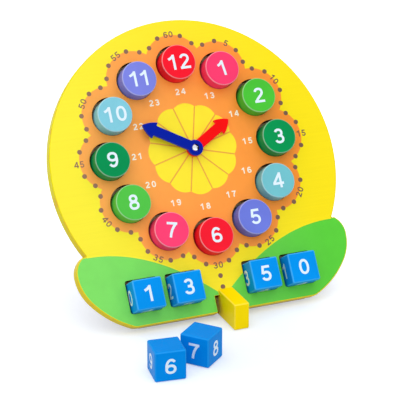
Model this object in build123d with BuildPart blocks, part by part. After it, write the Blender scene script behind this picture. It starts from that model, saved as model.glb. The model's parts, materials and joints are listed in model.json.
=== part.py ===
"""Wooden teaching clock: a leaning dial board with loose hour discs, number cubes and two hands."""
import os
from math import cos, hypot, pi, radians, sin, sqrt

from build123d import *

# ---------------------------------------------------------------- driving dimensions (mm, degrees)
lean_angle = 33.0  # the board leans back this far from upright
edge_round = 1.0  # rounding of the board's and panel's outer edges

# Hour discs and their holes
hour_count = 12
disc_radius = 17.8
disc_thickness = 26.0
disc_round = 1.2
disc_clearance = 1.7  # hole radius less disc radius
disc_seat_gap = 0.3  # left under a disc that has settled to the low side of its hole
hole_web = 7.1  # wood between neighbouring holes

# Number cubes and their square pockets
cube_size = 30.0
cube_round = 1.8
cube_clearance = 3.0  # pocket width less cube width
cube_seat_gap = 0.3  # left under a cube that has settled to the low side of its pocket
pocket_round = 2.5
pocket_web = 8.35  # wood between the two pockets of a pair
pocket_gap = 48.5  # wood between the two pairs, over the foot
pocket_margin = 13.1  # wood below the pockets

# Dial board and back panel
board_thickness = 12.0
panel_thickness = 3.0
panel_inset = 6.0  # the panel stops this far inside the board's outline, except along the base
face_drop = 15.4  # the round dial's centre lies this far below the bolt ...
face_shift = 0.7  # ... and this far to its right
rim_width = 26.8  # wood above the top hole
base_trim = 1.3  # the straight base cuts this much off the round dial
leaf_rise = 29.2  # from the pockets' top to the leaf's top
crown_length = 3.242  # the leaf's straight top, from the round dial to its upper outer corner
brow_in = 9.0  # the leaf's upper outer corner: distance from the tip, in x ...
brow_drop = 17.3  # ... and height above the leaf's widest place
leaf_waist_in = 9.1  # where the leaf's side turns inwards: distance from the tip, in x ...
leaf_waist_up = 30.5  # ... and height above the base
leaf_heel_in = 48.4  # where the leaf's side meets the base: distance from the tip
shoulder_round = 0.8  # in the corner between the round dial and each leaf
heel_round = 12.0  # between each leaf's side and the base

# Foot block
foot_width = 15.9
foot_height = 27.2
foot_reach = 117.5  # ahead of the bolt
foot_tail = 45.0  # behind the bolt
foot_offset = 2.6
foot_round = 1.6
notch_clearance = 0.3  # right of the foot
notch_gap = 4.4  # left of the foot
notch_depth = 16.3
slot_clearance = 0.15  # each side of the board in the foot's slot

# Bolt, nut, washers
bolt_radius = 2.0
bolt_clearance = 0.15  # radial, in board, panel and washers
head_radius = 3.75
head_height = 2.3
recess_width = 0.9
recess_length = 3.6
recess_depth = 1.0
nut_sides = 6
nut_across_flats = 7.0
nut_thickness = 3.2
nut_cap_radius = 3.1
washer_radius = 6.0
washer_thickness = 0.8
spacer_thickness = 2.8  # the washer between the board and the hour hand

# Hands
hand_thickness = 2.4
hand_width = 10.4
hand_corner_round = 0.6
hand_round = 0.5
hand_running_fit = 0.06  # radial, on the bolt
hand_end_play = 0.1  # each side of a hand, between its washers
hub_radius = 8.1
head_half_width = 8.8
head_length = 14.2
head_bulge = 1.1  # how far an arrow head's curved side stands out from straight
hour_length = 49.4
minute_length = 58.5
hour_angle = 59.6  # clockwise from twelve: two o'clock
minute_angle = 300.9  # clockwise from twelve: fifty minutes

# Spare cubes on the table: the left one's place, and how the right one lies beside it
spare_left_x = -99.2
spare_left_y = -176.2
spare_left_turn = -7.0
spare_right_turn = -49.5
spare_gap = 2.58  # from the left cube's side to the right cube's nearest corner
spare_step = 20.1  # how far along that side the right cube lies farther back

# ---------------------------------------------------------------- sizes that follow
lean = radians(lean_angle)
hole_radius = disc_radius + disc_clearance
ring_radius = (2 * hole_radius + hole_web) / (2 * sin(pi / hour_count))
face_radius = face_drop + ring_radius + hole_radius + rim_width
base_drop = face_drop + face_radius - base_trim
pocket_size = cube_size + cube_clearance
pocket_y = -base_drop + pocket_margin + pocket_size / 2
pocket_inner_x = (pocket_gap + pocket_size) / 2
pocket_outer_x = pocket_inner_x + pocket_web + pocket_size
leaf_top = pocket_y + pocket_size / 2 + leaf_rise
crown_start = face_shift + sqrt(face_radius**2 - (leaf_top + face_drop) ** 2)
leaf_reach = crown_start + crown_length + brow_in
notch_width = foot_width + notch_clearance + notch_gap
notch_x = foot_offset + (notch_clearance - notch_gap) / 2
stack_thickness = board_thickness + panel_thickness
bolt_height = base_drop * cos(lean) + stack_thickness * sin(lean)
bolt_hole_radius = bolt_radius + bolt_clearance
hand_bore_radius = bolt_radius + hand_running_fit
hour_floor = spacer_thickness + hand_end_play
minute_floor = hour_floor + hand_thickness + washer_thickness + 2 * hand_end_play
head_seat = minute_floor + hand_thickness + hand_end_play

# The board's front face, seen from the front: x to the right, y up the lean, z out of the face.
# The origin of the model is on the table, straight below the bolt.
board_face = Plane(origin=(0, 0, bolt_height), x_dir=(1, 0, 0), z_dir=(0, -cos(lean), sin(lean)))
panel_face = board_face.offset(-board_thickness)


def board_outline(inset=0.0):
    """Draw the board's outline, a round dial on two leaves, or one inside it on the same base line."""
    dial_radius = face_radius - inset
    reach = leaf_reach - inset
    top = leaf_top - inset
    shrink = 1 - inset / brow_drop
    widest = (reach, top - brow_drop * shrink)
    with BuildSketch() as outline:
        with Locations((face_shift, -face_drop)):
            Circle(dial_radius)
        with BuildLine():
            crown = Line((0, top), (reach - brow_in * shrink, top))
            TangentArc(widest, crown @ 1, tangent=(0, 1))
            side = TangentArc(widest, (reach - leaf_waist_in, leaf_waist_up - base_drop), tangent=(0, -1))
            heel = TangentArc(side @ 1, (reach - leaf_heel_in, -base_drop), tangent=side % 1)
            Line(heel @ 1, (0, -base_drop))
            mirror(about=Plane.YZ)
        make_face()
        with Locations((0, -base_drop)):
            Rectangle(2 * leaf_reach, face_radius, align=(Align.CENTER, Align.MAX), mode=Mode.SUBTRACT)
        shoulders = outline.vertices().filter_by(
            lambda corner: round(hypot(corner.X - face_shift, corner.Y + face_drop) - dial_radius, 3) == 0
        )
        fillet(shoulders, radius=shoulder_round)
        fillet(outline.vertices().group_by(Axis.Y)[0], radius=heel_round)
    return outline.sketch


def pocket_places():
    """Centres of the four square pockets on the board's face, from left to right."""
    return [(x, pocket_y) for x in (-pocket_outer_x, -pocket_inner_x, pocket_inner_x, pocket_outer_x)]


def hour_place(hour, radius):
    """The point on the board's face at the given hour and distance from the bolt."""
    turn = radians(360 / hour_count * hour)
    return (radius * sin(turn), radius * cos(turn))


def place_on(plane, x, y, turn):
    """The plane, moved to a point on itself and turned about its own normal."""
    return Plane(plane.location * Location((x, y, 0), (0, 0, turn)))


def finish_piece(piece, name):
    """Name a finished piece and write its file."""
    piece.part.label = name
    export_step(piece.part, f"parts/{name}.step")


os.makedirs("parts", exist_ok=True)

# ---------------------------------------------------------------- front board
with BuildPart() as front_board:
    with BuildSketch(board_face):
        add(board_outline())
        with Locations((notch_x, -base_drop)):
            Rectangle(notch_width, 2 * notch_depth, mode=Mode.SUBTRACT)
    extrude(amount=-board_thickness)
    fillet(front_board.faces().filter_by(board_face).edges(), radius=edge_round)
    with BuildSketch(board_face):
        with PolarLocations(ring_radius, hour_count):
            Circle(hole_radius)
        with Locations(*pocket_places()):
            RectangleRounded(pocket_size, pocket_size, pocket_round)
        Circle(bolt_hole_radius)
    extrude(amount=-board_thickness, mode=Mode.SUBTRACT)
finish_piece(front_board, "front_board")

# ---------------------------------------------------------------- back panel
with BuildPart() as back_panel:
    with BuildSketch(panel_face):
        add(board_outline(panel_inset))
        with Locations((notch_x, -base_drop)):
            Rectangle(notch_width, 2 * notch_depth, mode=Mode.SUBTRACT)
        Circle(bolt_hole_radius, mode=Mode.SUBTRACT)
    extrude(amount=-panel_thickness)
finish_piece(back_panel, "back_panel")

# ---------------------------------------------------------------- foot block
# The slot across the foot takes the board and panel down to the top of their notch.
with BuildPart() as foot:
    with BuildSketch():
        with Locations((foot_offset, (foot_tail - foot_reach) / 2)):
            Rectangle(foot_width, foot_reach + foot_tail)
    extrude(amount=foot_height)
    fillet(foot.edges(), radius=foot_round)
    with BuildSketch(board_face.offset(slot_clearance)):
        with Locations((foot_offset, notch_depth - base_drop)):
            Rectangle(2 * foot_width, 2 * foot_height, align=(Align.CENTER, Align.MIN))
    extrude(amount=-(stack_thickness + 2 * slot_clearance), mode=Mode.SUBTRACT)
finish_piece(foot, "foot")


# ---------------------------------------------------------------- bolt, nut and washers
def make_washer(name, floor, thickness):
    """Make a flat washer on the bolt, its underside the given height above the board's face."""
    with BuildPart() as washer:
        with BuildSketch(board_face.offset(floor)):
            Circle(washer_radius)
            Circle(bolt_hole_radius, mode=Mode.SUBTRACT)
        extrude(amount=thickness)
    finish_piece(washer, name)


make_washer("board_washer", 0, spacer_thickness)
make_washer("hand_washer", hour_floor + hand_thickness + hand_end_play, washer_thickness)
make_washer("back_washer", -stack_thickness - washer_thickness, washer_thickness)

nut_seat = stack_thickness + washer_thickness
nut_floor = nut_seat + nut_thickness
dome_radius = (head_radius**2 + head_height**2) / (2 * head_height)

with BuildPart() as pivot_bolt:
    with BuildSketch(board_face.offset(-nut_floor)):
        Circle(bolt_radius)
    extrude(amount=nut_floor + head_seat)
    with BuildSketch(Plane(board_face.origin, x_dir=board_face.x_dir, z_dir=-board_face.y_dir)):
        with BuildLine():
            rim = (head_radius, head_seat)
            crown = (0, head_seat + head_height)
            Line((0, head_seat), rim)
            RadiusArc(rim, crown, -dome_radius)
            Line(crown, (0, head_seat))
        make_face()
    revolve(axis=Axis(board_face.origin, board_face.z_dir))
    with BuildSketch(board_face.offset(head_seat + head_height - recess_depth)):
        Rectangle(recess_length, recess_width)
        Rectangle(recess_width, recess_length)
    extrude(amount=head_height, mode=Mode.SUBTRACT)
finish_piece(pivot_bolt, "pivot_bolt")

# A cap nut: a hexagon with a dome that hides the bolt's end.
with BuildPart() as pivot_nut:
    with BuildSketch(board_face.offset(-nut_floor)):
        RegularPolygon(nut_across_flats / 2, nut_sides, major_radius=False)
    extrude(amount=nut_thickness)
    with Locations(board_face.offset(-nut_floor).location):
        Sphere(nut_cap_radius)
    with BuildSketch(board_face.offset(-nut_floor)):
        Circle(bolt_radius)
    extrude(amount=nut_floor, mode=Mode.SUBTRACT)
finish_piece(pivot_nut, "pivot_nut")


# ---------------------------------------------------------------- hands
def make_hand(name, length, angle, floor):
    """Make an arrow-headed hand that points clockwise from twelve by the given angle."""
    plane = place_on(board_face.offset(floor), 0, 0, 90 - angle)
    head_base = length - head_length
    slope = hypot(head_length, head_half_width)
    side_x = (head_base + length) / 2 + head_bulge * head_half_width / slope
    side_y = head_half_width / 2 + head_bulge * head_length / slope
    with BuildPart() as hand:
        with BuildSketch(plane) as outline:
            Circle(hub_radius)
            Rectangle(head_base, hand_width, align=(Align.MIN, Align.CENTER))
            with BuildLine():
                Line((head_base, 0), (head_base, head_half_width))
                ThreePointArc((head_base, head_half_width), (side_x, side_y), (length, 0))
                mirror(about=Plane.XZ)
            make_face()
            fillet(outline.vertices(), radius=hand_corner_round)
        extrude(amount=hand_thickness)
        fillet(hand.faces().filter_by(plane).edges(), radius=hand_round)
        with BuildSketch(plane):
            Circle(hand_bore_radius)
        extrude(amount=hand_thickness, mode=Mode.SUBTRACT)
    finish_piece(hand, name)


make_hand("hour_hand", hour_length, hour_angle, hour_floor)
make_hand("minute_hand", minute_length, minute_angle, minute_floor)


# ---------------------------------------------------------------- hour discs
disc_drop = disc_clearance - disc_seat_gap
for hour in range(1, hour_count + 1):
    hole_x, hole_y = hour_place(hour, ring_radius)
    with BuildPart() as disc:
        with BuildSketch(panel_face):
            with Locations((hole_x, hole_y - disc_drop)):
                Circle(disc_radius)
        extrude(amount=disc_thickness)
        fillet(disc.edges().filter_by(GeomType.CIRCLE), radius=disc_round)
    finish_piece(disc, f"hour_disc_{hour}")


# ---------------------------------------------------------------- number cubes
cube_drop = cube_clearance / 2 - cube_seat_gap
cube_names = ("cube_hour_tens", "cube_hour_units", "cube_minute_tens", "cube_minute_units")
cube_planes = {}
for name, (x, y) in zip(cube_names, pocket_places()):
    cube_planes[name] = place_on(panel_face, x, y - cube_drop, 0)

spare_left = place_on(Plane.XY, spare_left_x, spare_left_y, spare_left_turn)
between = radians(spare_left_turn - spare_right_turn)
spare_pitch = cube_size / 2 * (1 + cos(between) + sin(between)) + spare_gap
cube_planes["cube_spare_left"] = spare_left
cube_planes["cube_spare_right"] = place_on(
    spare_left, spare_pitch, spare_step, spare_right_turn - spare_left_turn
)

for name, plane in cube_planes.items():
    with BuildPart() as cube:
        with BuildSketch(plane):
            Rectangle(cube_size, cube_size)
        extrude(amount=cube_size)
        fillet(cube.edges(), radius=cube_round)
    finish_piece(cube, name)
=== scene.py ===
# Wooden teaching clock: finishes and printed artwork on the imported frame
import json
from functools import partial
from math import acos, asin, atan2, copysign, cos, hypot, pi, radians, sin, sqrt

import bmesh
import bpy
from mathutils import Matrix, Vector


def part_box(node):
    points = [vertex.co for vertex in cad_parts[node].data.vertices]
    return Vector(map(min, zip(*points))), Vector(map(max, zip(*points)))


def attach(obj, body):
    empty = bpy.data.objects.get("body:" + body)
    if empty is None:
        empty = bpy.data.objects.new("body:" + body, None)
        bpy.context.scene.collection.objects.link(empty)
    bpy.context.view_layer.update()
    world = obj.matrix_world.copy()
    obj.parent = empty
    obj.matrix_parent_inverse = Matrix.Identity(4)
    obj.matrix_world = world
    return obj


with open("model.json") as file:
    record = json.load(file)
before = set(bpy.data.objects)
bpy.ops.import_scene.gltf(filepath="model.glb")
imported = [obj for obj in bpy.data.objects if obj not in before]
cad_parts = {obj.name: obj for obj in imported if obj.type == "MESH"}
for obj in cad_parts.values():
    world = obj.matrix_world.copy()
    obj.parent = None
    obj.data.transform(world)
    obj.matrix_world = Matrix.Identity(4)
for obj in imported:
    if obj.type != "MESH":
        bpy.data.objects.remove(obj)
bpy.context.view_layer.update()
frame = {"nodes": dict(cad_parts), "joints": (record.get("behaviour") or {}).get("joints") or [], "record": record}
print("frame loaded")

scene = bpy.context.scene
mm = 0.001

# The dial's own axes: x to the right, y up the lean, z out of the board, in millimetres from the bolt
dialJoint = next(joint for joint in frame["joints"] if joint["name"] == "hour_hand_turn")
dialOut = Vector(dialJoint["axis"])
dialRight = Vector((1, 0, 0))
dialUp = dialOut.cross(dialRight)
leanAngle = asin(dialOut.z)
turnToDial = Matrix((dialRight, dialUp, dialOut)).transposed().to_4x4()
dialFrame = Matrix.Translation(dialJoint["pos_m"]) @ turnToDial @ Matrix.Scale(mm, 4)
toDial = dialFrame.inverted()


# An sRGB hex code as a linear colour
def toLinear(code):
    channels = []
    for start in (0, 2, 4):
        level = int(code[start:start + 2], 16) / 255
        channels.append(level / 12.92 if level <= 0.04045 else ((level + 0.055) / 1.055) ** 2.4)
    return (*channels, 1.0)


def addNode(tree, kind, inputs=None, **settings):
    node = tree.nodes.new(kind)
    for key, value in settings.items():
        setattr(node, key, value)
    for socket, value in (inputs or {}).items():
        if isinstance(value, bpy.types.NodeSocket):
            tree.links.new(value, node.inputs[socket])
        else:
            node.inputs[socket].default_value = value
    return node


def newMaterial(name):
    material = bpy.data.materials.new(name)
    material.use_nodes = True
    material.node_tree.nodes.clear()
    return material, material.node_tree


# How squarely a surface faces along an axis, where it still counts as flat and where it is all
# rounded edge; on a rim the two are counted from its middle, where it is roundest
blockFlat, blockRound = 0.985, 0.9
rimMiddle, rimFlat, rimRound = 0.56, 0.425, 0.34


# The share of a squared block's surface that is rounded edge: 0 on its flats, 1 on its corners.
# The normal is turned into the block's own axes first.
def blockEdges(tree, axis=(1, 0, 0), angle=0.0):
    normal = addNode(tree, "ShaderNodeNewGeometry").outputs["Normal"]
    turned = addNode(tree, "ShaderNodeVectorRotate", {"Vector": normal, "Axis": axis, "Angle": angle})
    level = addNode(tree, "ShaderNodeVectorMath", {0: turned.outputs[0]}, operation="ABSOLUTE")
    parts = addNode(tree, "ShaderNodeSeparateXYZ", {0: level.outputs[0]})
    largest = parts.outputs[0]
    for other in parts.outputs[1:]:
        largest = addNode(tree, "ShaderNodeMath", {0: largest, 1: other}, operation="MAXIMUM").outputs[0]
    share = addNode(
        tree, "ShaderNodeMapRange",
        {"Value": largest, "From Min": blockFlat, "From Max": blockRound},
        interpolation_type="SMOOTHSTEP",
    )
    return share.outputs[0]


# The same for a disc or a hand, whose walls stand square to the dial
def rimEdges(tree):
    normal = addNode(tree, "ShaderNodeNewGeometry").outputs["Normal"]
    facing = addNode(tree, "ShaderNodeVectorMath", {0: normal, 1: tuple(dialOut)}, operation="DOT_PRODUCT")
    level = addNode(tree, "ShaderNodeMath", {0: facing.outputs["Value"]}, operation="ABSOLUTE")
    offMiddle = addNode(tree, "ShaderNodeMath", {0: level.outputs[0], 1: rimMiddle}, operation="SUBTRACT")
    spread = addNode(tree, "ShaderNodeMath", {0: offMiddle.outputs[0]}, operation="ABSOLUTE")
    share = addNode(
        tree, "ShaderNodeMapRange",
        {"Value": spread.outputs[0], "From Min": rimFlat, "From Max": rimRound},
        interpolation_type="SMOOTHSTEP",
    )
    return share.outputs[0]


noiseLow, noiseHigh = 0.3, 0.7  # where nearly all of a noise texture's values lie

# Sprayed enamel on sanded beech: even and softly glossy, with faint cloudiness, a fine orange peel
# and rounded edges that go paler, partly as a thinner film and partly as a painted highlight
enamelLook = {
    "cloudSize": 35,  # mm
    "cloudDepth": 0.05,
    "peelSize": 1.1,  # mm
    "peelHeight": 0.008,  # mm
    "roughness": 0.32,
    "thinEdgeAndHighlightTint": "ffffff",  # what the rounded edges go towards, as a thinner film and a painted highlight
}
# How far the rounded edges go paler for each finish: partly a thinner film, partly a painted highlight
discLook = {**enamelLook, "specular": 0.05, "thinEdgeAndHighlight": 0.24}
handLook = {**enamelLook, "specular": 0.04, "thinEdgeAndHighlight": 0.05}
footLook = {**enamelLook, "specular": 0.05, "thinEdgeAndHighlight": 0.05}
cubeLook = {**enamelLook, "specular": 0.03, "thinEdgeAndHighlight": 0.2, "thinEdgeAndHighlightTint": "8cf4ff"}
spareLook = {**cubeLook, "thinEdgeAndHighlight": 0.05}


def sprayedEnamel(name, colour, look, edges=rimEdges):
    material, tree = newMaterial(name)
    place = addNode(tree, "ShaderNodeTexCoord").outputs["Object"]
    cloud = addNode(
        tree, "ShaderNodeTexNoise",
        {"Vector": place, "Scale": 1 / (look["cloudSize"] * mm), "Detail": 3.0, "Roughness": 0.5},
    )
    shade = addNode(
        tree, "ShaderNodeMapRange",
        {"Value": cloud.outputs["Fac"], "From Min": noiseLow, "From Max": noiseHigh,
         "To Min": 1 - look["cloudDepth"], "To Max": 1 + look["cloudDepth"]},
    )
    body = addNode(
        tree, "ShaderNodeMix",
        {"Factor": 1.0, 6: toLinear(colour), 7: shade.outputs[0]},
        data_type="RGBA", blend_type="MULTIPLY",
    )
    # Rounded edges go paler: partly a thinner film, partly a painted highlight
    thinEdgeAndHighlightShare = addNode(tree, "ShaderNodeMath", {0: edges(tree), 1: look["thinEdgeAndHighlight"]}, operation="MULTIPLY")
    paint = addNode(
        tree, "ShaderNodeMix",
        {"Factor": thinEdgeAndHighlightShare.outputs[0], 6: body.outputs[2], 7: toLinear(look["thinEdgeAndHighlightTint"])},
        data_type="RGBA",
    )
    peel = addNode(
        tree, "ShaderNodeTexNoise",
        {"Vector": place, "Scale": 1 / (look["peelSize"] * mm), "Detail": 1.0},
    )
    relief = addNode(
        tree, "ShaderNodeBump",
        {"Height": peel.outputs["Fac"], "Distance": look["peelHeight"] * mm, "Strength": 1.0},
    )
    shader = addNode(
        tree, "ShaderNodeBsdfPrincipled",
        {"Base Color": paint.outputs[2], "Roughness": look["roughness"],
         "Specular IOR Level": look["specular"], "Normal": relief.outputs[0]},
    )
    addNode(tree, "ShaderNodeOutputMaterial", {"Surface": shader.outputs[0]})
    return material


inkTurn = 120  # mm each side of the middle over which a print colour changes


# A print colour that is a little paler at the board's left: painted light, for the brighter light and sheen on
# that side
def acrossBoard(tree, leftColour, rightColour):
    place = addNode(tree, "ShaderNodeTexCoord").outputs["Object"]
    sideways = addNode(tree, "ShaderNodeSeparateXYZ", {0: place})
    share = addNode(
        tree, "ShaderNodeMapRange",
        {"Value": sideways.outputs["X"], "From Min": -inkTurn * mm, "From Max": inkTurn * mm},
    )
    blend = addNode(
        tree, "ShaderNodeMix",
        {"Factor": share.outputs[0], 6: toLinear(leftColour), 7: toLinear(rightColour)},
        data_type="RGBA",
    )
    return blend.outputs[2]


# The scale of a pattern that runs along the board: its length and width in millimetres
def alongBoard(length, width):
    return 1 / (length * mm), 1 / (width * mm), 1 / (width * mm)


# Board lacquer: a yellow face under thin satin lacquer, even with a hint of grain and with painted light that
# makes it paler at the left, and brush-painted plywood edges that turn golden in blotches and near the table, with
# painted shade on the walls of the notch, holes and pockets
boardLook = {
    # The face's yellow at the left and right: the paler left is painted light
    "faceLeft": "fdee3e",
    "faceRight": "fce41e",
    "edge": "eee012",
    "edgeBlotch": "eec82e",
    "paintedRecessShade": "521c06",  # painted shade on the walls of the notch, holes and pockets, darkened as these recesses lie in shadow
    "holesReach": 124,  # mm from the bolt, just past the ring of holes
    "pocketsReach": 101,  # mm from the middle, just past the outer pockets
    "pocketsBand": (10.5, 50),  # mm above the table
    "notchReach": 10.8,  # mm from the middle, just past the notch
    "notchTop": 23,  # mm above the table
    "faceFrom": (0.965, 0.999),  # how squarely a surface looks out of the board, from edge to face
    "blotchSize": 9,  # mm
    "blotchFrom": (0.5, 0.68),  # the noise values between which a blotch fades in
    "lowBlotch": 0.5,  # how far the edges take the blotch colour at the leaves, fading out ...
    "lowBlotchReach": (75, 120),  # mm above the table
    "grainSize": 1.6,  # mm
    "grainLength": 55,  # mm
    "grainDepth": 0.03,
    "grainHeight": 0.01,  # mm
    "roughness": 0.34,
    "specular": 0.02,
}


def lacqueredBoard():
    look = boardLook
    material, tree = newMaterial("printed plywood under satin lacquer")
    place = addNode(tree, "ShaderNodeTexCoord").outputs["Object"]
    grain = addNode(
        tree, "ShaderNodeMapping",
        {"Vector": place, "Rotation": (-leanAngle, 0, 0),
         "Scale": alongBoard(look["grainLength"], look["grainSize"])},
    )
    fibres = addNode(tree, "ShaderNodeTexNoise", {"Vector": grain.outputs[0], "Scale": 1.0, "Detail": 4.0})
    shade = addNode(
        tree, "ShaderNodeMapRange",
        {"Value": fibres.outputs["Fac"], "From Min": noiseLow, "From Max": noiseHigh,
         "To Min": 1 - look["grainDepth"], "To Max": 1.0},
    )
    blotch = addNode(
        tree, "ShaderNodeTexNoise",
        {"Vector": place, "Scale": 1 / (look["blotchSize"] * mm), "Detail": 2.0},
    )
    blotchStart, blotchEnd = look["blotchFrom"]
    blotchShare = addNode(
        tree, "ShaderNodeMapRange",
        {"Value": blotch.outputs["Fac"], "From Min": blotchStart, "From Max": blotchEnd},
        interpolation_type="SMOOTHSTEP",
    )
    apart = addNode(tree, "ShaderNodeSeparateXYZ", {0: place})
    fadeStart, fadeEnd = look["lowBlotchReach"]
    lowShare = addNode(
        tree, "ShaderNodeMapRange",
        {"Value": apart.outputs["Z"], "From Min": fadeStart * mm, "From Max": fadeEnd * mm,
         "To Min": look["lowBlotch"], "To Max": 0.0},
    )
    golden = addNode(
        tree, "ShaderNodeMath", {0: blotchShare.outputs[0], 1: lowShare.outputs[0]}, operation="MAXIMUM",
    )
    rim = addNode(
        tree, "ShaderNodeMix",
        {"Factor": golden.outputs[0], 6: toLinear(look["edge"]), 7: toLinear(look["edgeBlotch"])},
        data_type="RGBA",
    )
    # Painted shade: the walls of the holes, pockets and notch take a dark colour for the shadow deep in these
    # recesses
    fromBolt = addNode(
        tree, "ShaderNodeVectorMath", {0: place, 1: tuple(dialFrame.translation)}, operation="DISTANCE",
    )
    recessShadeShare = addNode(
        tree, "ShaderNodeMath",
        {0: fromBolt.outputs["Value"], 1: look["holesReach"] * mm}, operation="LESS_THAN",
    )
    lowest, highest = look["pocketsBand"]
    for reach, bottom, top in (
        (look["pocketsReach"], lowest, highest), (look["notchReach"], 0, look["notchTop"]),
    ):
        across = addNode(
            tree, "ShaderNodeMath", {0: apart.outputs["X"], 1: 0.0, 2: reach * mm}, operation="COMPARE",
        )
        up = addNode(
            tree, "ShaderNodeMath",
            {0: apart.outputs["Z"], 1: (bottom + top) / 2 * mm, 2: (top - bottom) / 2 * mm},
            operation="COMPARE",
        )
        inside = addNode(
            tree, "ShaderNodeMath", {0: across.outputs[0], 1: up.outputs[0]}, operation="MULTIPLY",
        )
        recessShadeShare = addNode(
            tree, "ShaderNodeMath", {0: recessShadeShare.outputs[0], 1: inside.outputs[0]}, operation="MAXIMUM",
        )
    edge = addNode(
        tree, "ShaderNodeMix",
        {"Factor": recessShadeShare.outputs[0], 6: rim.outputs[2], 7: toLinear(look["paintedRecessShade"])},
        data_type="RGBA",
    )
    normal = addNode(tree, "ShaderNodeNewGeometry").outputs["Normal"]
    facing = addNode(tree, "ShaderNodeVectorMath", {0: normal, 1: tuple(dialOut)}, operation="DOT_PRODUCT")
    faceStart, faceEnd = look["faceFrom"]
    faceShare = addNode(
        tree, "ShaderNodeMapRange",
        {"Value": facing.outputs["Value"], "From Min": faceStart, "From Max": faceEnd},
        interpolation_type="SMOOTHSTEP",
    )
    # The face takes its yellow with the painted light at the left, the edges their rim colour with the painted
    # shade in the recesses
    colour = addNode(
        tree, "ShaderNodeMix",
        {"Factor": faceShare.outputs[0], 6: edge.outputs[2],
         7: acrossBoard(tree, look["faceLeft"], look["faceRight"])},
        data_type="RGBA",
    )
    toned = addNode(
        tree, "ShaderNodeMix",
        {"Factor": 1.0, 6: colour.outputs[2], 7: shade.outputs[0]},
        data_type="RGBA", blend_type="MULTIPLY",
    )
    relief = addNode(
        tree, "ShaderNodeBump",
        {"Height": fibres.outputs["Fac"], "Distance": look["grainHeight"] * mm, "Strength": 1.0},
    )
    shader = addNode(
        tree, "ShaderNodeBsdfPrincipled",
        {"Base Color": toned.outputs[2], "Roughness": look["roughness"],
         "Specular IOR Level": look["specular"], "Normal": relief.outputs[0]},
    )
    addNode(tree, "ShaderNodeOutputMaterial", {"Surface": shader.outputs[0]})
    return material


# Screen-printed ink under satin lacquer: flat, opaque, with a faintly uneven lay-down, and paler at the board's
# left as painted light
inkLook = {
    "laySize": 14,  # mm
    "roughness": 0.34,
    "specular": 0.2,
}


def screenInk(name, leftColour, rightColour, unevenness):
    material, tree = newMaterial(name)
    place = addNode(tree, "ShaderNodeTexCoord").outputs["Object"]
    lay = addNode(
        tree, "ShaderNodeTexNoise",
        {"Vector": place, "Scale": 1 / (inkLook["laySize"] * mm), "Detail": 4.0},
    )
    shade = addNode(
        tree, "ShaderNodeMapRange",
        {"Value": lay.outputs["Fac"], "From Min": noiseLow, "From Max": noiseHigh,
         "To Min": 1 - unevenness, "To Max": 1 + unevenness},
    )
    # Painted light: the ink goes paler towards the board's left
    tone = addNode(
        tree, "ShaderNodeMix",
        {"Factor": 1.0, 6: acrossBoard(tree, leftColour, rightColour), 7: shade.outputs[0]},
        data_type="RGBA", blend_type="MULTIPLY",
    )
    shader = addNode(
        tree, "ShaderNodeBsdfPrincipled",
        {"Base Color": tone.outputs[2], "Roughness": inkLook["roughness"],
         "Specular IOR Level": inkLook["specular"]},
    )
    addNode(tree, "ShaderNodeOutputMaterial", {"Surface": shader.outputs[0]})
    return material


# Bare sanded birch plywood: pale straw colour with long soft figure and fine dark pores
birchLook = {
    "light": "e3cba0",
    "dark": "cfae7c",
    "figureWidth": 14,  # mm
    "figureLength": 160,  # mm
    "poreWidth": 0.7,  # mm
    "poreLength": 12,  # mm
    "poreShade": 0.86,  # how dark the deepest pore is, against the wood round it
    "poreFrom": (0.35, 0.6),  # the noise values of a deep pore and of none
    "poreDepth": 0.03,  # mm
    "roughness": 0.62,
}


def sandedBirch():
    look = birchLook
    material, tree = newMaterial("sanded birch plywood")
    place = addNode(tree, "ShaderNodeTexCoord").outputs["Object"]
    figure = addNode(
        tree, "ShaderNodeMapping",
        {"Vector": place, "Rotation": (-leanAngle, 0, 0),
         "Scale": alongBoard(look["figureLength"], look["figureWidth"])},
    )
    pores = addNode(
        tree, "ShaderNodeMapping",
        {"Vector": place, "Rotation": (-leanAngle, 0, 0),
         "Scale": alongBoard(look["poreLength"], look["poreWidth"])},
    )
    bands = addNode(
        tree, "ShaderNodeTexNoise",
        {"Vector": figure.outputs[0], "Scale": 1.0, "Detail": 3.0, "Distortion": 0.8},
    )
    streaks = addNode(tree, "ShaderNodeTexNoise", {"Vector": pores.outputs[0], "Scale": 1.0, "Detail": 2.0})
    wood = addNode(
        tree, "ShaderNodeMix",
        {"Factor": bands.outputs["Fac"], 6: toLinear(look["light"]), 7: toLinear(look["dark"])},
        data_type="RGBA",
    )
    deep, shallow = look["poreFrom"]
    streakShade = addNode(
        tree, "ShaderNodeMapRange",
        {"Value": streaks.outputs["Fac"], "From Min": deep, "From Max": shallow,
         "To Min": look["poreShade"], "To Max": 1.0},
    )
    toned = addNode(
        tree, "ShaderNodeMix",
        {"Factor": 1.0, 6: wood.outputs[2], 7: streakShade.outputs[0]},
        data_type="RGBA", blend_type="MULTIPLY",
    )
    relief = addNode(
        tree, "ShaderNodeBump",
        {"Height": streaks.outputs["Fac"], "Distance": look["poreDepth"] * mm, "Strength": 1.0},
    )
    shader = addNode(
        tree, "ShaderNodeBsdfPrincipled",
        {"Base Color": toned.outputs[2], "Roughness": look["roughness"], "Normal": relief.outputs[0]},
    )
    addNode(tree, "ShaderNodeOutputMaterial", {"Surface": shader.outputs[0]})
    return material


# Chrome plate on turned steel: mirror bright, with hairline polishing marks, and a painted dark reflection
# where it faces the dial's right, a dark corner of the room painted into its colour
chromeLook = {
    "bright": "e4e5ea",
    # the colour of the painted dark reflection
    "deep": "14161e",
    "paintedReflectionDarkSide": (0.97, 0.13, 0.2),  # the direction that the painted dark reflection faces
    "paintedReflectionDarkFrom": (0.0, 0.1),  # how squarely it faces there, from bright to the painted dark reflection
    "markSize": 0.5,  # mm
    "roughness": (0.05, 0.16),
}


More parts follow.
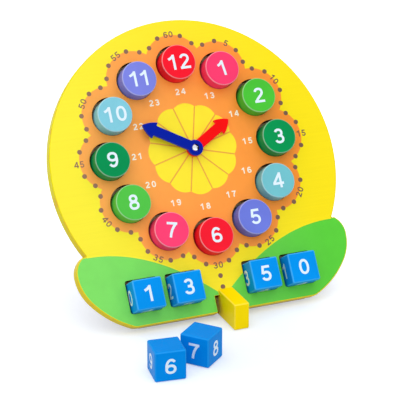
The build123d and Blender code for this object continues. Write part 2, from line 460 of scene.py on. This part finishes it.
def chromePlate():
    look = chromeLook
    material, tree = newMaterial("polished chrome plate with painted dark reflection")
    place = addNode(tree, "ShaderNodeTexCoord").outputs["Object"]
    marks = addNode(
        tree, "ShaderNodeTexNoise",
        {"Vector": place, "Scale": 1 / (look["markSize"] * mm), "Detail": 2.0},
    )
    smoothest, roughest = look["roughness"]
    roughness = addNode(
        tree, "ShaderNodeMapRange",
        {"Value": marks.outputs["Fac"], "To Min": smoothest, "To Max": roughest},
    )
    normal = addNode(tree, "ShaderNodeNewGeometry").outputs["Normal"]
    facing = addNode(tree, "ShaderNodeVectorMath", {0: normal, 1: look["paintedReflectionDarkSide"]}, operation="DOT_PRODUCT")
    darkReflectionStart, darkReflectionEnd = look["paintedReflectionDarkFrom"]
    share = addNode(
        tree, "ShaderNodeMapRange",
        {"Value": facing.outputs["Value"], "From Min": darkReflectionStart, "From Max": darkReflectionEnd},
    )
    # Painted reflection: dark on the side facing the dial's right
    tone = addNode(
        tree, "ShaderNodeMix",
        {"Factor": share.outputs[0], 6: toLinear(look["bright"]), 7: toLinear(look["deep"])},
        data_type="RGBA",
    )
    shader = addNode(
        tree, "ShaderNodeBsdfPrincipled",
        {"Base Color": tone.outputs[2], "Metallic": 1.0, "Roughness": roughness.outputs[0]},
    )
    addNode(tree, "ShaderNodeOutputMaterial", {"Surface": shader.outputs[0]})
    return material


paintColours = {
    "disc": {
        1: "f83c6e", 2: "4ac238", 3: "009450", 4: "70bfca", 5: "6c7ada", 6: "f61a30",
        7: "fa4072", 8: "52c448", 9: "008f50", 10: "82cbdd", 11: "7a82de", 12: "f6182e",
    },
    "cube": "0093ee",
    # Painted shade: the cubes on the table take a darker copy of the board cubes' blue
    "spareCubeShadedBlue": "008ce8",
    "foot": "ffe000",
    "hourHand": "f80a0e",
    "minuteHand": "001c9c",
}

slotOf = {part["node"]: part["material_slot"] for part in frame["record"]["subparts"]}


def coat(node, material):
    data = frame["nodes"][node].data
    data.materials.clear()
    data.materials.append(material)
    for polygon in data.polygons:
        polygon.material_index = 0


chrome = chromePlate()
for node in ("pivot_bolt", "pivot_nut", "back_washer", "board_washer", "hand_washer"):
    coat(node, chrome)
coat("front_board", lacqueredBoard())
coat("back_panel", sandedBirch())
coat("foot", sprayedEnamel("yellow enamel on beech", paintColours["foot"], footLook, blockEdges))
coat("hour_hand", sprayedEnamel("red enamel on birch ply", paintColours["hourHand"], handLook))
coat("minute_hand", sprayedEnamel("dark blue enamel on birch ply", paintColours["minuteHand"], handLook))
for hour, colour in paintColours["disc"].items():
    coat(f"hour_disc_{hour}", sprayedEnamel(f"disc {hour} enamel on beech", colour, discLook))
print("finishes ready")


# Numerals are bold strokes, each along a centre line, on a grid that is one numeral high.
# A bowl is part of a slightly squared ellipse, between two angles in degrees.
def bowl(centreX, centreY, radiusX, radiusY, start, end, steps=18, squareness=2.2):
    line = []
    for step in range(steps + 1):
        turn = radians(start + (end - start) * step / steps)
        across, rise = cos(turn), sin(turn)
        x = centreX + radiusX * copysign(abs(across) ** (2 / squareness), across)
        y = centreY + radiusY * copysign(abs(rise) ** (2 / squareness), rise)
        line.append((x, y))
    return line


def halfTurn(line):
    return [(numeralCell - x, 1 - y) for x, y in line]


strokeWidth = 0.158
numeralCell = 0.77  # a numeral's width with its share of the gap
widening = 1.07  # how much wider than on the grid the numerals are drawn
oneKern = 0.1  # how much closer two ones stand
overlapLift = 0.008  # mm that each further stroke of a numeral lies over the one before
sharpestMitre, longestMitre = 0.35, 2.0  # how far a stroke's corner may reach out
closedWithin = 1e-6  # between the two ends of a line that runs round
sixStrokes = [
    bowl(0.39, 0.315, 0.24, 0.225, 0, 360, 32),
    bowl(0.405, 0.46, 0.255, 0.45, 42, 190),
]
numerals = {
    "0": [bowl(0.385, 0.5, 0.24, 0.41, 0, 360, 36)],
    "1": [[(0.46, 0), (0.46, 1)], [(0.475, 0.955), (0.38, 0.85), (0.27, 0.765), (0.13, 0.705)]],
    "2": [
        bowl(0.375, 0.695, 0.22, 0.215, 172, -22) + [(0.5, 0.49), (0.36, 0.355), (0.23, 0.22), (0.17, 0.12)],
        [(0.05, 0.08), (0.7, 0.08)],
    ],
    "3": [
        bowl(0.36, 0.71, 0.2, 0.2, 162, -84) + [(0.29, 0.515)],
        bowl(0.36, 0.3, 0.235, 0.215, 96, -164),
    ],
    "4": [[(0.52, 0), (0.52, 1)], [(0.5, 0.92), (0.09, 0.32)], [(0.02, 0.29), (0.72, 0.29)]],
    "5": [
        [(0.65, 0.91), (0.235, 0.91), (0.165, 0.46)],
        bowl(0.375, 0.325, 0.24, 0.24, 146, -160),
    ],
    "6": sixStrokes,
    "7": [[(0.06, 0.91), (0.705, 0.91)], [(0.64, 0.93), (0.51, 0.74), (0.4, 0.5), (0.335, 0.25), (0.31, 0)]],
    "8": [bowl(0.385, 0.73, 0.19, 0.18, 0, 360, 28), bowl(0.385, 0.295, 0.235, 0.205, 0, 360, 32)],
    "9": [halfTurn(line) for line in sixStrokes],
}


# One stroke of paint or ink: a flat strip along a line, from low to high
def addStrip(mesh, line, width, low, high, place):
    closed = hypot(line[0][0] - line[-1][0], line[0][1] - line[-1][1]) < closedWithin
    points = [Vector(point) for point in (line[:-1] if closed else line)]
    count = len(points)
    rows = []
    for index, point in enumerate(points):
        before = points[index - 1] if index or closed else None
        after = points[(index + 1) % count] if index < count - 1 or closed else None
        steps = [(point - before).normalized()] if before is not None else []
        steps += [(after - point).normalized()] if after is not None else []
        along = sum(steps, Vector((0, 0))).normalized()
        reach = min(1 / max(along.dot(steps[0]), sharpestMitre), longestMitre)
        side = Vector((-along.y, along.x)) * width / 2 * reach
        corners = [(point + side, low), (point - side, low), (point - side, high), (point + side, high)]
        rows.append([mesh.verts.new(place @ Vector((spot.x, spot.y, height))) for spot, height in corners])
    for index in range(count if closed else count - 1):
        here, there = rows[index], rows[(index + 1) % count]
        for corner in range(4):
            following = (corner + 1) % 4
            mesh.faces.new((here[corner], here[following], there[following], there[corner]))
    if not closed:
        mesh.faces.new(reversed(rows[0]))
        mesh.faces.new(rows[-1])


# A number centred on a place: height and the extra gap between its numerals are in millimetres
def addNumber(mesh, word, height, place, film, gap=0.0, weight=1.0):
    wide = height * widening
    advance = numeralCell * wide + gap - (oneKern * height if word == "11" else 0)
    for index, letter in enumerate(word):
        start = advance * (index - (len(word) - 1) / 2) - numeralCell * wide / 2
        for layer, line in enumerate(numerals[letter]):
            moved = [(x * wide + start, (y - 0.5) * height) for x, y in line]
            addStrip(mesh, moved, strokeWidth * height * weight, 0, film + layer * overlapLift, place)


# A finished mesh as a piece that moves with a body
def finishPiece(name, mesh, material, body, slotName):
    bmesh.ops.recalc_face_normals(mesh, faces=mesh.faces)
    for face in mesh.faces:
        face.smooth = False
        face.material_index = 0
    data = bpy.data.meshes.new(name)
    mesh.to_mesh(data)
    mesh.free()
    data.materials.append(material)
    piece = bpy.data.objects.new(name, data)
    scene.collection.objects.link(piece)
    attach(piece, body)


# A place on a flat print, turned by an angle in degrees
def turnAbout(x, y, angle, z=0.0):
    return Matrix.Translation((x, y, z)) @ Matrix.Rotation(radians(angle), 4, "Z")


# Each ink's colours at the board's left and right, the paler left being painted light, and how unevenly it lies
inkColours = {
    "white": ("e0f0fb", "e0f0fb", 0.01),
    "orange": ("ffaa50", "fd9028", 0.03),
    "leaf green": ("7ee062", "56ce34", 0.03),
    "petal yellow": ("fdea2e", "fce424", 0.03),
    "dark orange": ("eca842", "e69c38", 0.03),
    "brown": ("96705a", "785846", 0.08),
    "cream": ("f8f2e0", "f6eed8", 0.01),
}
ink = {name: screenInk(f"{name} screen ink", *colours) for name, colours in inkColours.items()}

# Hour numbers on the discs; two of the loose discs sit a little turned
discMarks = {
    "height": 15.6,  # mm
    "film": 0.05,  # mm
    "turn": {1: 7.0, 7: -12.0},  # degrees
}
for hour in range(1, 13):
    low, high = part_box(f"hour_disc_{hour}")
    centre = toDial @ ((low + high) / 2)
    topHeight = max((toDial @ vertex.co).z for vertex in frame["nodes"][f"hour_disc_{hour}"].data.vertices)
    mesh = bmesh.new()
    place = dialFrame @ turnAbout(centre.x, centre.y, discMarks["turn"].get(hour, 0.0), topHeight)
    addNumber(mesh, str(hour), discMarks["height"], place, discMarks["film"])
    finishPiece(f"disc_number_{hour}", mesh, ink["white"], f"disc_{hour}", slotOf[f"hour_disc_{hour}"])
print("disc numbers ready")

# Number cubes: the number on each face that has one, and the turn in degrees of a cube on the table
cubeMarks = {
    "height": 15.6,  # mm
    "film": 0.05,  # mm
    "faces": {
        "cube_hour_tens": {"front": "1", "left": "0", "right": "2", "up": "5", "down": "4", "back": "3"},
        "cube_hour_units": {"front": "3", "left": "2", "right": "8", "up": "7", "down": "5", "back": "6"},
        "cube_minute_tens": {"front": "5", "left": "3", "right": "1", "up": "2", "down": "4", "back": "0"},
        "cube_minute_units": {"front": "0", "left": "1", "right": "6", "up": "9", "down": "4", "back": "7"},
        "cube_spare_left": {"front": "6", "left": "9", "right": "4", "back": "5"},
        "cube_spare_right": {"front": "7", "left": "0", "right": "8", "back": "1"},
    },
    "turn": {"cube_spare_left": -7.0, "cube_spare_right": -49.5},
}
boardEdges = partial(blockEdges, axis=(1, 0, 0), angle=-acos(dialOut.z))
boardCubePaint = sprayedEnamel("blue enamel on beech", paintColours["cube"], cubeLook, boardEdges)
# Each face's own axes in the cube's axes (x right, y up, z out of the front): right, up
faceAxes = {
    "front": ((1, 0, 0), (0, 1, 0)),
    "back": ((-1, 0, 0), (0, 1, 0)),
    "left": ((0, 0, 1), (0, 1, 0)),
    "right": ((0, 0, -1), (0, 1, 0)),
    "up": ((1, 0, 0), (0, 0, -1)),
    "down": ((1, 0, 0), (0, 0, 1)),
}
for name, digits in cubeMarks["faces"].items():
    low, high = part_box(name)
    if name in cubeMarks["turn"]:
        turn = radians(cubeMarks["turn"][name])
        turned = Matrix.Rotation(turn, 4, "Z") @ Matrix.Rotation(pi / 2, 4, "X")
        edges = partial(blockEdges, axis=(0, 0, 1), angle=-turn)
        # Painted shade: a darker copy of the blue for the cubes on the table
        coat(name, sprayedEnamel(f"blue enamel on beech {name}", paintColours["spareCubeShadedBlue"], spareLook, edges))
    else:
        turned = turnToDial
        coat(name, boardCubePaint)
    cubeFrame = Matrix.Translation((low + high) / 2) @ turned @ Matrix.Scale(mm, 4)
    inCube = cubeFrame.inverted()
    half = max((inCube @ vertex.co).x for vertex in frame["nodes"][name].data.vertices)
    mesh = bmesh.new()
    for side, digit in digits.items():
        right, up = (Vector(direction) for direction in faceAxes[side])
        out = right.cross(up)
        axes = Matrix((right, up, out)).transposed().to_4x4()
        place = cubeFrame @ Matrix.Translation(out * half) @ axes
        addNumber(mesh, digit, cubeMarks["height"], place, cubeMarks["film"])
    finishPiece(f"{name}_numbers", mesh, ink["white"], name, slotOf[name])
print("cube numbers ready")

# Printed artwork on the board, in millimetres from its own centre
printPlan = {
    "shift": (0.2, 1.1),  # the print's centre, from the bolt
    "film": 0.04,
    "ringRadius": 89.0,  # of the lobes' centres
    "lobeRadius": 30.0,
    "petalReach": 47.0,
    "petalRadius": 16.7,
    "petalLine": 1.3,
    "petalLineStart": 3,
    "dotRadius": 2.4,
    "dotStep": 15,  # degrees between the corners of a dot
    "dotRings": ((117.2, 6.0), (110.1, 12.0)),  # radius, degrees each side of the hour
    "colonDots": (-130.2, -141.4),
    "minuteRadius": 119.4,
    "minuteHeight": 6.4,
    "minuteGap": 0.3,
    "minuteWeight": 1.05,  # of the strokes, against the hour numbers
    "afternoonRadius": 59.4,
    "afternoonHeight": 6.2,
    "afternoonGap": 1.3,
    "afternoonWeight": 1.25,
    "leafDrop": 92.0,  # the leaf's highest line below the centre
    "leafCrest": 128.0,
    "leafBend": 0.0036,  # per mm
    "leafInner": 6.0,
    "leafSteps": 40,
    "leafRest": ((131, -92), (131, -89), (170, -89), (170, -190), (6, -190)),  # beyond the crest
}
artFrame = dialFrame @ Matrix.Translation((*printPlan["shift"], 0))
onBoard = ("stand", "board_yellow")  # the body and the material slot of every print on the board
groundLayer, petalLayer, markLayer = 1, 2, 3  # how many films high each colour lies
slabHalf, cutterHalf = 5, 8  # mm, half the thickness of the two blocks that are cut with each other
weldWithin, flatWithin = 1e-4, 0.01  # mm between points that are one, and off the board's front


# Extrudes flat faces and sets the height of the new side
def raiseFaces(mesh, faces, height):
    for part in bmesh.ops.extrude_face_region(mesh, geom=faces)["geom"]:
        if isinstance(part, bmesh.types.BMVert):
            part.co.z = height


# The board's flat front as a slab, with its own outline and holes, cut to a region and laid as a film
def layFilm(name, outline, material, height):
    slab = bmesh.new()
    slab.from_mesh(frame["nodes"]["front_board"].data)
    bmesh.ops.transform(slab, matrix=artFrame.inverted(), verts=slab.verts)
    bmesh.ops.remove_doubles(slab, verts=slab.verts, dist=weldWithin)
    away = [face for face in slab.faces if any(abs(vertex.co.z) > flatWithin for vertex in face.verts)]
    bmesh.ops.delete(slab, geom=away, context="FACES")
    raiseFaces(slab, slab.faces[:], slabHalf)
    for vertex in slab.verts:
        if vertex.co.z < slabHalf:
            vertex.co.z = -slabHalf
    bmesh.ops.recalc_face_normals(slab, faces=slab.faces)
    cutter = bmesh.new()
    ends = [cutter.verts.new((x, y, -cutterHalf)) for x, y in outline]
    raiseFaces(cutter, [cutter.faces.new(ends)], cutterHalf)
    bmesh.ops.recalc_face_normals(cutter, faces=cutter.faces)
    pieces = []
    for label, shape in (("slab", slab), ("cutter", cutter)):
        data = bpy.data.meshes.new(label)
        shape.to_mesh(data)
        shape.free()
        pieces.append(bpy.data.objects.new(label, data))
        scene.collection.objects.link(pieces[-1])
    common = pieces[0].modifiers.new("cut", "BOOLEAN")
    common.operation = "INTERSECT"
    common.solver = "EXACT"
    common.object = pieces[1]
    bpy.context.view_layer.update()
    shown = pieces[0].evaluated_get(bpy.context.evaluated_depsgraph_get())
    layer = bmesh.new()
    layer.from_mesh(shown.to_mesh())
    shown.to_mesh_clear()
    for vertex in layer.verts:
        vertex.co.z = height if vertex.co.z > 0 else 0
    bmesh.ops.transform(layer, matrix=artFrame, verts=layer.verts)
    for piece in pieces:
        data = piece.data
        bpy.data.objects.remove(piece)
        bpy.data.meshes.remove(data)
    finishPiece(name, layer, material, *onBoard)


# A closed scalloped outline, twelve arcs of the same radius centred on the hours, and its cusps' radius
def scallops(centreRadius, arcRadius, steps=16):
    halfGap = pi / 12
    cusp = centreRadius * cos(halfGap) + sqrt(arcRadius ** 2 - (centreRadius * sin(halfGap)) ** 2)
    sweep = atan2(cusp * sin(halfGap), cusp * cos(halfGap) - centreRadius)
    outline = []
    for hour in range(12):
        out = radians(30 * hour)
        for step in range(steps):
            turn = out - sweep + 2 * sweep * step / steps
            x = centreRadius * sin(out) + arcRadius * sin(turn)
            y = centreRadius * cos(out) + arcRadius * cos(turn)
            outline.append((x, y))
    return outline, cusp


film = printPlan["film"]
ringOutline = scallops(printPlan["ringRadius"], printPlan["lobeRadius"])[0]
layFilm("orange_ring_print", ringOutline, ink["orange"], groundLayer * film)

petalCentre = printPlan["petalReach"] - printPlan["petalRadius"]
petalOutline, petalCusp = scallops(petalCentre, printPlan["petalRadius"])
layFilm("petal_print", petalOutline, ink["petal yellow"], petalLayer * film)

petalLines = bmesh.new()
for hour in range(12):
    turn = radians(30 * hour + 15)
    ends = [(radius * sin(turn), radius * cos(turn)) for radius in (printPlan["petalLineStart"], petalCusp)]
    addStrip(petalLines, ends, printPlan["petalLine"], 0, markLayer * film, artFrame)
finishPiece("petal_line_print", petalLines, ink["dark orange"], *onBoard)

for side, name in ((-1, "left"), (1, "right")):
    crest, inner = printPlan["leafCrest"], printPlan["leafInner"]
    edge = []
    for step in range(printPlan["leafSteps"] + 1):
        x = inner + (crest - inner) * step / printPlan["leafSteps"]
        edge.append((side * x, -printPlan["leafDrop"] - printPlan["leafBend"] * (x - crest) ** 2))
    edge += [(side * x, y) for x, y in printPlan["leafRest"]]
    layFilm(f"leaf_print_{name}", edge, ink["leaf green"], groundLayer * film)

dots = bmesh.new()
spots = [(0, height) for height in printPlan["colonDots"]]
for hour in range(12):
    for radius, offset in printPlan["dotRings"]:
        for turn in (radians(30 * hour - offset), radians(30 * hour + offset)):
            spots.append((radius * sin(turn), radius * cos(turn)))
dotRadius = printPlan["dotRadius"]
dotTurns = [radians(turn) for turn in range(0, 360, printPlan["dotStep"])]
for x, y in spots:
    corners = [(x + dotRadius * cos(turn), y + dotRadius * sin(turn), 0) for turn in dotTurns]
    bottom = dots.faces.new([dots.verts.new(corner) for corner in corners])
    raiseFaces(dots, [bottom], markLayer * film)
bmesh.ops.transform(dots, matrix=artFrame, verts=dots.verts)
finishPiece("minute_dots", dots, ink["brown"], *onBoard)

# The minute numbers follow the ring, heads outwards above and feet outwards below, level at 15 and 45
minuteNumbers = bmesh.new()
afternoonNumbers = bmesh.new()
for hour in range(1, 13):
    turn = radians(30 * hour)
    if hour in (3, 9):
        tilt = 0
    elif hour in (10, 11, 12, 1, 2):
        tilt = -30 * hour
    else:
        tilt = 180 - 30 * hour
    for mesh, number, ring, angle, layer in (
        (minuteNumbers, 5 * hour, "minute", tilt, markLayer),
        (afternoonNumbers, 12 + hour, "afternoon", 0, petalLayer),
    ):
        radius = printPlan[f"{ring}Radius"]
        place = artFrame @ turnAbout(radius * sin(turn), radius * cos(turn), angle)
        addNumber(
            mesh, str(number), printPlan[f"{ring}Height"], place, layer * film,
            gap=printPlan[f"{ring}Gap"], weight=printPlan[f"{ring}Weight"],
        )
finishPiece("minute_numbers", minuteNumbers, ink["brown"], *onBoard)
finishPiece("afternoon_numbers", afternoonNumbers, ink["cream"], *onBoard)
print("board print ready")

# Studio: a white table, a broad soft box overhead and in front, and a room that is brightest at the
# upper front left
studio = {
    "floorSize": 12.0,  # m
    "floorDrop": 0.2,  # mm that the table lies below the undersides
    "floorColour": "d2d6dc",
    "glowColour": "f0f5ff",
    "glowStrength": (0.39, 0.96),  # added where the table is seen, from its darkest place outwards
    "glowReach": (0.06, 0.36),  # m
    "glowCentre": (-0.02, -0.13, 0.0),  # m
    "roomStrength": (0.25, 0.95),
    "brightSide": (-0.4, -0.45, 0.798),  # the direction in which the room is brightest
    "brightFrom": (0.05, 0.65),  # how squarely a direction points there, from dim to bright
    "boxPlace": (0.0, -0.7, 1.62),  # m
    "boxAim": (0.0, -0.03, 0.12),  # m
    "boxSize": 3.0,  # m
    "boxPower": 17.0,  # W
}


# 1 for what the camera sees, straight or through a mirror or glass, and 0 for light on the object
def seenRays(tree):
    rays = addNode(tree, "ShaderNodeLightPath")
    seen = addNode(
        tree, "ShaderNodeMath",
        {0: rays.outputs["Is Camera Ray"], 1: rays.outputs["Is Glossy Ray"]}, operation="MAXIMUM",
    )
    seenOrThrough = addNode(
        tree, "ShaderNodeMath",
        {0: seen.outputs[0], 1: rays.outputs["Is Transmission Ray"]}, operation="MAXIMUM",
    )
    return seenOrThrough.outputs[0]


def tableMaterial():
    material, tree = newMaterial("white table laminate")
    place = addNode(tree, "ShaderNodeTexCoord").outputs["Object"]
    distance = addNode(
        tree, "ShaderNodeVectorMath", {0: place, 1: studio["glowCentre"]}, operation="DISTANCE",
    )
    start, end = studio["glowReach"]
    near, far = studio["glowStrength"]
    level = addNode(
        tree, "ShaderNodeMapRange",
        {"Value": distance.outputs["Value"], "From Min": start, "From Max": end,
         "To Min": near, "To Max": far},
    )
    glow = addNode(tree, "ShaderNodeMath", {0: seenRays(tree), 1: level.outputs[0]}, operation="MULTIPLY")
    body = addNode(tree, "ShaderNodeBsdfDiffuse", {"Color": toLinear(studio["floorColour"])})
    light = addNode(
        tree, "ShaderNodeEmission", {"Color": toLinear(studio["glowColour"]), "Strength": glow.outputs[0]},
    )
    both = addNode(tree, "ShaderNodeAddShader", {0: body.outputs[0], 1: light.outputs[0]})
    addNode(tree, "ShaderNodeOutputMaterial", {"Surface": both.outputs[0]})
    return material


table = bmesh.new()
bmesh.ops.create_grid(table, x_segments=1, y_segments=1, size=studio["floorSize"] / 2)
tableData = bpy.data.meshes.new("table_top")
table.to_mesh(tableData)
table.free()
tableData.materials.append(tableMaterial())
tableTop = bpy.data.objects.new("table_top", tableData)
tableTop.location.z = -studio["floorDrop"] * mm
scene.collection.objects.link(tableTop)

# The room lights the object from one side; seen straight or in a mirror it is plain white
world = bpy.data.worlds.new("white room")
world.use_nodes = True
room = world.node_tree
room.nodes.clear()
direction = addNode(room, "ShaderNodeTexCoord").outputs["Generated"]
towards = addNode(
    room, "ShaderNodeVectorMath", {0: direction, 1: studio["brightSide"]}, operation="DOT_PRODUCT",
)
start, end = studio["brightFrom"]
dim, bright = studio["roomStrength"]
roomLevel = addNode(
    room, "ShaderNodeMapRange",
    {"Value": towards.outputs["Value"], "From Min": start, "From Max": end,
     "To Min": dim, "To Max": bright},
    interpolation_type="SMOOTHSTEP",
)
seenLevel = addNode(
    room, "ShaderNodeMix",
    {"Factor": seenRays(room), 2: roomLevel.outputs[0], 3: 1.0}, data_type="FLOAT",
)
sky = addNode(room, "ShaderNodeBackground", {"Color": (1, 1, 1, 1), "Strength": seenLevel.outputs[0]})
addNode(room, "ShaderNodeOutputWorld", {"Surface": sky.outputs[0]})
scene.world = world

lamp = bpy.data.lights.new("soft_box", "AREA")
lamp.shape = "SQUARE"
lamp.size = studio["boxSize"]
lamp.energy = studio["boxPower"]
softBox = bpy.data.objects.new("soft_box", lamp)
softBox.location = studio["boxPlace"]
aim = Vector(studio["boxAim"]) - softBox.location
softBox.rotation_euler = aim.to_track_quat("-Z", "Y").to_euler()
softBox.visible_glossy = False  # no bright square in the reflections
scene.collection.objects.link(softBox)

# Camera: a long lens from the front left, a little above the dial
view = {
    "place": (-0.63559, -1.53704, 0.75339),  # m
    "aim": (-0.0073, -0.0372, 0.1067),  # m
    "lens": 160.0,  # mm
    "sensor": 36.0,  # mm
    "shift": (-0.00125, 0.00125),  # of the frame's width
}
cameraData = bpy.data.cameras.new("camera")
cameraData.lens = view["lens"]
cameraData.sensor_width = view["sensor"]
cameraData.shift_x, cameraData.shift_y = view["shift"]
camera = bpy.data.objects.new("camera", cameraData)
camera.location = view["place"]
gaze = Vector(view["aim"]) - camera.location
camera.rotation_euler = gaze.to_track_quat("-Z", "Y").to_euler()
scene.collection.objects.link(camera)
scene.camera = camera
scene.view_settings.view_transform = "Standard"
print("studio ready")
